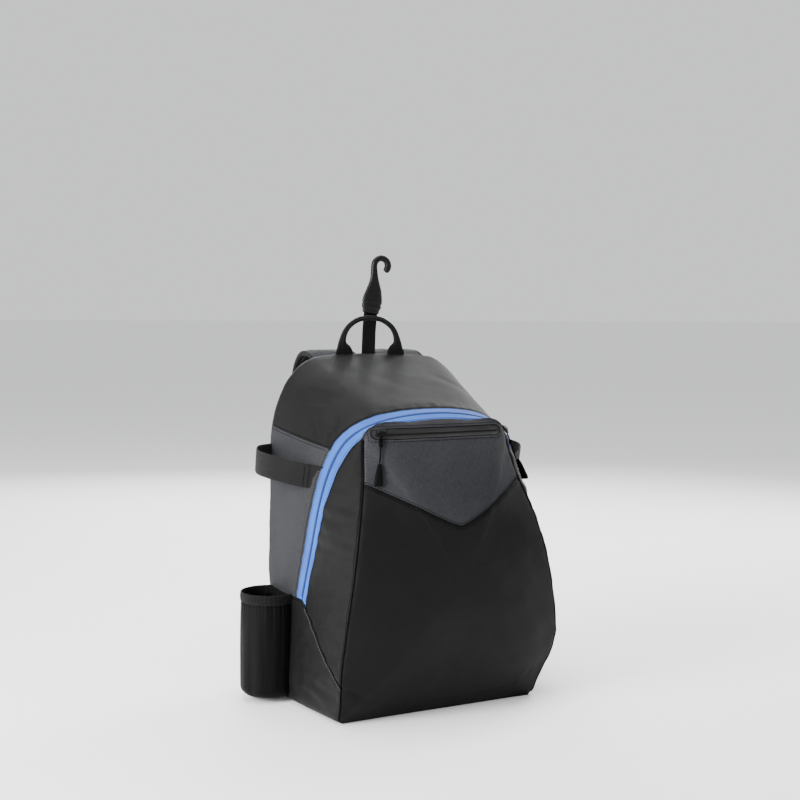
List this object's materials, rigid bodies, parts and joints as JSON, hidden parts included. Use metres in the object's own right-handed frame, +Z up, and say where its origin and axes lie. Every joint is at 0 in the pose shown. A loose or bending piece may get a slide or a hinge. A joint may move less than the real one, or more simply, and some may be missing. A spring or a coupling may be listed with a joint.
{
  "type": "baseball bat backpack",
  "caption": "Soft youth backpack with a long arched zip, a front pocket, a bat sleeve and bat strap on each side, padded shoulder straps, a grab handle and a fence hook.",
  "frame": {"origin": "on the underside of the base, midway between the two bat sleeves, 100 mm in front of the back seam", "axes": "+Z up as the bag stands, +Y out of the back panel towards the wearer, -Y out of the front pocket, +X towards the right-hand bat sleeve seen from the front"},
  "size_m": [0.4136, 0.3018, 0.5649],
  "materials": {
    "black_cloth": "tightly woven polyester with a soft sheen",
    "grey_cloth": "heathered slate polyester, matt",
    "blue_tape": "light blue woven zip tape",
    "blue_coil": "nylon coil zip teeth",
    "black_coil": "nylon coil zip teeth",
    "black_webbing": "ribbed webbing",
    "charcoal_elastic": "knitted elastic",
    "black_padding": "spacer mesh over foam",
    "black_plastic": "moulded plastic, satin",
    "black_cord": "braided cord",
    "pull_metal": "dark enamelled zip slider"
  },
  "bodies": {
    "root": {"base_tub": "black_cloth", "dome_panel": "black_cloth", "side_panel_left": "grey_cloth", "side_panel_right": "grey_cloth", "side_gusset_left": "black_cloth", "side_gusset_right": "black_cloth", "back_panel": "black_padding", "main_zip_tape_rear": "blue_tape", "main_zip_tape_front": "blue_tape", "main_zip_coil": "blue_coil", "main_zip_slider": "pull_metal", "main_zip_cord": "black_cord", "main_zip_grip": "black_plastic", "front_panel": "black_cloth", "front_pocket_panel": "grey_cloth", "pocket_zip_tape": "black_webbing", "pocket_zip_coil": "black_coil", "pocket_zip_slider": "pull_metal", "pocket_zip_cord": "black_cord", "pocket_zip_grip": "black_plastic", "grab_handle": "black_webbing", "hook_strap": "black_webbing", "fence_hook": "black_plastic", "bat_sleeve_left": "black_cloth", "sleeve_binding_left": "charcoal_elastic", "bat_strap_left": "charcoal_elastic", "shoulder_strap_left": "black_padding", "ladder_lock_left": "black_plastic", "strap_webbing_left": "black_webbing", "strap_anchor_left": "black_webbing", "bat_sleeve_right": "black_cloth", "sleeve_binding_right": "charcoal_elastic", "bat_strap_right": "charcoal_elastic", "shoulder_strap_right": "black_padding", "ladder_lock_right": "black_plastic", "strap_webbing_right": "black_webbing", "strap_anchor_right": "black_webbing"}
  },
  "joints": []
}
